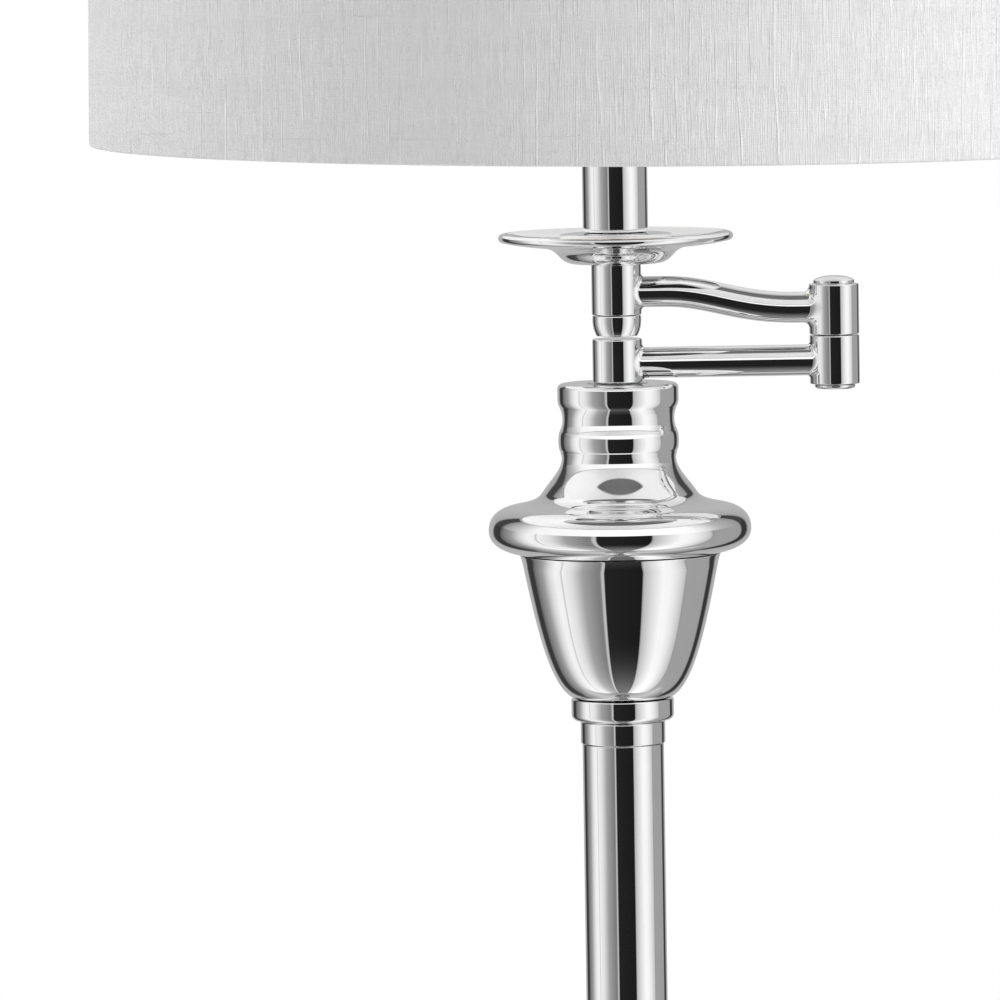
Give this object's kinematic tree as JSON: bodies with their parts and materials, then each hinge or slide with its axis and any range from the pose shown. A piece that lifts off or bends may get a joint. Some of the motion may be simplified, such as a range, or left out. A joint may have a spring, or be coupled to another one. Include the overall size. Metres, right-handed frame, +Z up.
{
  "type": "swing arm floor lamp",
  "caption": "Free-standing floor lamp: weighted round base, chrome pole with a turned urn, a folding swing arm on two swivels, and a white linen drum shade over the socket.",
  "frame": {"origin": "centre of the base's underside, on the pole's axis", "axes": "+Z up the pole; +X towards the elbow of the folded arm; +Y the back, where the cord leaves the base"},
  "size_m": [0.4064, 0.4064, 1.524],
  "materials": {
    "chrome": "polished, mirror bright",
    "steel": "zinc plated",
    "cast_iron": "rough, sealed",
    "brass": "satin",
    "felt": "pressed felt",
    "black_plastic": "moulded",
    "lead": "clear gold flexible cable",
    "card": "fibre card",
    "liner": "white styrene",
    "linen": "off-white slubbed linen",
    "glass": "soft white"
  },
  "bodies": {
    "stand": {"felt_pad": "felt", "base_weight": "cast_iron", "base_cover": "chrome", "cord_bushing": "black_plastic", "base_nut": "steel", "base_lock_washer": "steel", "base_washer": "steel", "pole_seat": "chrome", "pole_lower": "chrome", "pole_coupling": "steel", "pole_upper": "chrome", "center_rod": "steel", "pole_sleeve": "chrome", "urn_collar": "chrome", "urn_bowl": "chrome", "urn_washer": "steel", "urn_nut": "steel", "urn_top": "chrome", "lead_column": "lead"},
    "lower_link": {"swivel_washer": "steel", "swivel_stem": "steel", "stem_spring_washer": "steel", "stem_nut": "steel", "lower_knuckle": "chrome", "lower_arm": "chrome", "elbow_lower_knuckle": "chrome", "elbow_bottom_cap": "chrome", "elbow_pin": "steel", "elbow_nut": "steel", "lead_lower_link": "lead"},
    "head": {"elbow_washer": "steel", "elbow_upper_knuckle": "chrome", "elbow_top_cap": "chrome", "upper_arm": "chrome", "upper_knuckle": "chrome", "knuckle_cap": "chrome", "head_nipple": "steel", "drip_disk": "chrome", "socket_tube": "chrome", "tube_cap": "steel", "harp_saddle": "brass", "socket_cap": "brass", "socket_shell": "brass", "socket_insulator": "card", "socket_core": "black_plastic", "screw_shell": "brass", "bulb_base": "steel", "bulb_globe": "glass", "harp": "brass", "shade_top_frame": "steel", "shade_bottom_ring": "steel", "shade_liner": "liner", "shade_fabric": "linen", "finial": "chrome", "lead_upper_link": "lead"},
    "switch": {"switch_shaft": "brass", "switch_knob": "black_plastic"},
    "ferrule_left": {"harp_ferrule_left": "brass"},
    "ferrule_right": {"harp_ferrule_right": "brass"}
  },
  "joints": [
    {"name": "column_swivel", "type": "hinge", "parent": "stand", "child": "lower_link", "pos_m": [0, 0, 1.153], "axis": [0, 0, 1], "range_deg": [-170, 170]},
    {"name": "elbow_swivel", "type": "hinge", "parent": "lower_link", "child": "head", "pos_m": [0.0846, 0, 1.1705], "axis": [0, 0, 1], "range_deg": [-170, 170]},
    {"name": "switch_turn", "type": "hinge", "parent": "head", "child": "switch", "pos_m": [0, -0.03, 1.288], "axis": [0, -1, 0], "continuous": true},
    {"name": "ferrule_left_lift", "type": "slide", "parent": "head", "child": "ferrule_left", "axis": [0, 0, 1], "range_m": [0, 0.01]},
    {"name": "ferrule_right_lift", "type": "slide", "parent": "head", "child": "ferrule_right", "axis": [0, 0, 1], "range_m": [0, 0.01]}
  ]
}
